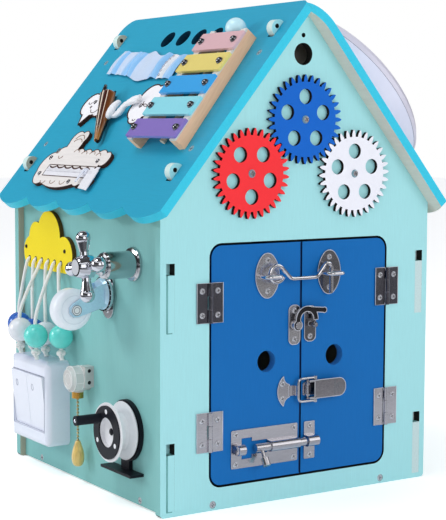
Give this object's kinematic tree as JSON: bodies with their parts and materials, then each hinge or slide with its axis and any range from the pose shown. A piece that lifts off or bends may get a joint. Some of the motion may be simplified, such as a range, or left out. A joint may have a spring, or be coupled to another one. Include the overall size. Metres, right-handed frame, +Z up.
{
  "type": "wooden activity house",
  "caption": "Painted plywood activity house for a child with gears, latched doors, switches, a tap, a caster, a xylophone and other things to turn, pull and slide.",
  "frame": {"origin": "middle of the front panel's bottom edge at its front face, on the ground", "axes": "+X to the right along the front, +Y to the back, +Z up"},
  "size_m": [0.3995, 0.3529, 0.4858],
  "materials": {
    "mint_paint": "satin",
    "teal_paint": "satin",
    "blue_paint": "satin",
    "bare_plywood": "matte",
    "zinc_steel": "brushed",
    "chrome": "polished",
    "gear_red": "satin",
    "gear_blue": "satin",
    "gear_white": "satin",
    "cloud_yellow": "satin",
    "cord_white": "matte",
    "bead_paint": "gloss",
    "caster_metal": "satin",
    "caster_white": "gloss",
    "switch_white": "gloss",
    "clear_plastic": "gloss",
    "brass": "polished",
    "reel_black": "matte",
    "reel_white": "gloss",
    "beech": "matte",
    "bar_paint": "gloss",
    "mallet_blue": "gloss",
    "ribbon_satin": "satin",
    "figure_plywood": "matte",
    "figure_white": "matte",
    "braid_white": "matte",
    "clip_black": "gloss",
    "clip_brown": "gloss",
    "clock_white": "gloss",
    "hand_black": "matte"
  },
  "bodies": {
    "house": {"front_panel": "mint_paint", "back_panel": "mint_paint", "left_wall": "mint_paint", "right_wall": "mint_paint", "floor_panel": "bare_plywood", "roof_left": "teal_paint", "roof_right": "teal_paint", "house_screws": "zinc_steel", "hinge_frame_leaves": "zinc_steel", "cloud": "cloud_yellow", "cloud_cords": "cord_white", "cloud_beads": "bead_paint", "tap_body": "chrome", "caster_plate": "chrome", "switch_box": "switch_white", "pull_switch_body": "clear_plastic", "reel_frame": "reel_black", "xylophone_rails": "beech", "xylophone_bars": "bar_paint", "xylophone_studs": "chrome", "ribbon": "ribbon_satin", "zip_figure": "figure_plywood", "white_figure": "figure_white", "braid": "braid_white", "clip_base": "clip_black", "clock_case": "clock_white"},
    "left_door": {"left_door": "blue_paint", "left_hinge_leaves": "zinc_steel", "left_door_screws": "zinc_steel", "cabin_hook_staple": "zinc_steel", "swing_latch_plate": "zinc_steel", "toggle_keeper": "chrome", "bolt_guide": "zinc_steel"},
    "right_door": {"right_door": "blue_paint", "right_hinge_leaves": "zinc_steel", "right_door_screws": "zinc_steel", "cabin_hook_eye": "zinc_steel", "swing_latch_catch": "zinc_steel", "toggle_base": "chrome", "bolt_keeper": "zinc_steel"},
    "cabin_hook": {"cabin_hook": "zinc_steel"},
    "swing_latch_arm": {"swing_latch_arm": "zinc_steel"},
    "toggle_lever": {"toggle_lever": "chrome"},
    "toggle_bail": {"toggle_bail": "chrome"},
    "bolt_rod": {"bolt_rod": "zinc_steel"},
    "gear_blue": {"gear_blue": "gear_blue"},
    "gear_red": {"gear_red": "gear_red"},
    "gear_white": {"gear_white": "gear_white"},
    "tap_handle": {"tap_handle": "chrome"},
    "caster_fork": {"caster_fork": "caster_metal"},
    "caster_wheel": {"caster_wheel": "caster_white"},
    "rocker_left": {"rocker_left": "switch_white"},
    "rocker_right": {"rocker_right": "switch_white"},
    "pull_chain": {"pull_chain": "brass"},
    "reel_spool": {"reel_spool": "reel_white"},
    "mallet": {"mallet": "mallet_blue"},
    "zip_slider": {"zip_slider": "zinc_steel"},
    "clip_jaw": {"clip_jaw": "clip_brown"},
    "hour_hand": {"hour_hand": "hand_black"},
    "minute_hand": {"minute_hand": "hand_black"}
  },
  "joints": [
    {"name": "left_door_swing", "type": "hinge", "parent": "house", "child": "left_door", "pos_m": [-0.1063, -0.0024, 0.139], "axis": [0, 0, -1], "range_deg": [0, 110]},
    {"name": "right_door_swing", "type": "hinge", "parent": "house", "child": "right_door", "pos_m": [0.1063, -0.0024, 0.139], "axis": [0, 0, 1], "range_deg": [0, 110]},
    {"name": "cabin_hook_swing", "type": "hinge", "parent": "left_door", "child": "cabin_hook", "pos_m": [-0.032, -0.0086, 0.222], "axis": [0, -1, 0], "range_deg": [-3, 120]},
    {"name": "swing_latch_swing", "type": "hinge", "parent": "left_door", "child": "swing_latch_arm", "pos_m": [-0.0087, -0.0056, 0.1725], "axis": [0, -1, 0], "range_deg": [0, 110]},
    {"name": "toggle_lever_swing", "type": "hinge", "parent": "right_door", "child": "toggle_lever", "pos_m": [0.006, -0.0037, 0.1077], "axis": [0, 0, -1], "range_deg": [0, 130]},
    {"name": "toggle_bail_swing", "type": "hinge", "parent": "toggle_lever", "child": "toggle_bail", "pos_m": [0.014, -0.0052, 0.1077], "axis": [0, 0, -1], "range_deg": [-130, 0]},
    {"name": "bolt_slide", "type": "slide", "parent": "left_door", "child": "bolt_rod", "axis": [1, 0, 0], "range_m": [-0.018, 0.004]},
    {"name": "gear_blue_spin", "type": "hinge", "parent": "house", "child": "gear_blue", "pos_m": [0, -0.0026, 0.3725], "axis": [0, -1, 0], "continuous": true},
    {"name": "gear_red_spin", "type": "hinge", "parent": "house", "child": "gear_red", "pos_m": [-0.0621, -0.0026, 0.32112], "axis": [0, -1, 0], "continuous": true},
    {"name": "gear_white_spin", "type": "hinge", "parent": "house", "child": "gear_white", "pos_m": [0.06064, -0.0026, 0.31941], "axis": [0, -1, 0], "continuous": true},
    {"name": "tap_turn", "type": "hinge", "parent": "house", "child": "tap_handle", "pos_m": [-0.2055, 0.061, 0.234], "axis": [-1, 0, 0], "range_deg": [0, 90]},
    {"name": "caster_swivel", "type": "hinge", "parent": "house", "child": "caster_fork", "pos_m": [-0.1615, 0.111, 0.201], "axis": [-1, 0, 0], "range_deg": [-150, 40]},
    {"name": "caster_roll", "type": "hinge", "parent": "caster_fork", "child": "caster_wheel", "pos_m": [-0.1958, 0.111, 0.188], "axis": [0, 1, 0], "continuous": true},
    {"name": "rocker_left_tilt", "type": "hinge", "parent": "house", "child": "rocker_left", "pos_m": [-0.1779, 0.2598, 0.0763], "axis": [0, 1, 0], "range_deg": [0, 12]},
    {"name": "rocker_right_tilt", "type": "hinge", "parent": "house", "child": "rocker_right", "pos_m": [-0.1779, 0.2222, 0.0763], "axis": [0, 1, 0], "range_deg": [0, 12]},
    {"name": "chain_pull", "type": "slide", "parent": "house", "child": "pull_chain", "axis": [0, 0, -1], "range_m": [0, 0.012], "stiffness_N_per_m": 120},
    {"name": "reel_turn", "type": "hinge", "parent": "house", "child": "reel_spool", "pos_m": [-0.1675, 0.072, 0.0712], "axis": [-1, 0, 0], "continuous": true},
    {"name": "mallet_slide", "type": "slide", "parent": "house", "child": "mallet", "axis": [0.6402, 0, 0.7682], "range_m": [0, 0.15]},
    {"name": "zip_slide", "type": "slide", "parent": "house", "child": "zip_slider", "axis": [0, 1, 0], "range_m": [0, 0.08]},
    {"name": "clip_open", "type": "hinge", "parent": "house", "child": "clip_jaw", "pos_m": [-0.10029, 0.21697, 0.39245], "axis": [-0.358, 0.829, -0.4296], "range_deg": [0, 18], "stiffness_Nm_per_rad": 0.05, "springref_deg": -17.19},
    {"name": "minute_hand_turn", "type": "hinge", "parent": "house", "child": "minute_hand", "pos_m": [0.11446, 0.098, 0.40356], "axis": [0.7682, 0, 0.6402], "continuous": true},
    {"name": "hour_hand_turn", "type": "hinge", "parent": "house", "child": "hour_hand", "pos_m": [0.11446, 0.098, 0.40356], "axis": [0.7682, 0, 0.6402], "continuous": true}
  ],
  "couplings": [
    {"joint": "right_door_swing", "follows": "left_door_swing", "ratio": 1},
    {"joint": "toggle_bail_swing", "follows": "toggle_lever_swing", "ratio": -1},
    {"joint": "gear_red_spin", "follows": "gear_blue_spin", "ratio": -1},
    {"joint": "gear_white_spin", "follows": "gear_blue_spin", "ratio": -1},
    {"joint": "hour_hand_turn", "follows": "minute_hand_turn", "ratio": 0.083333}
  ]
}
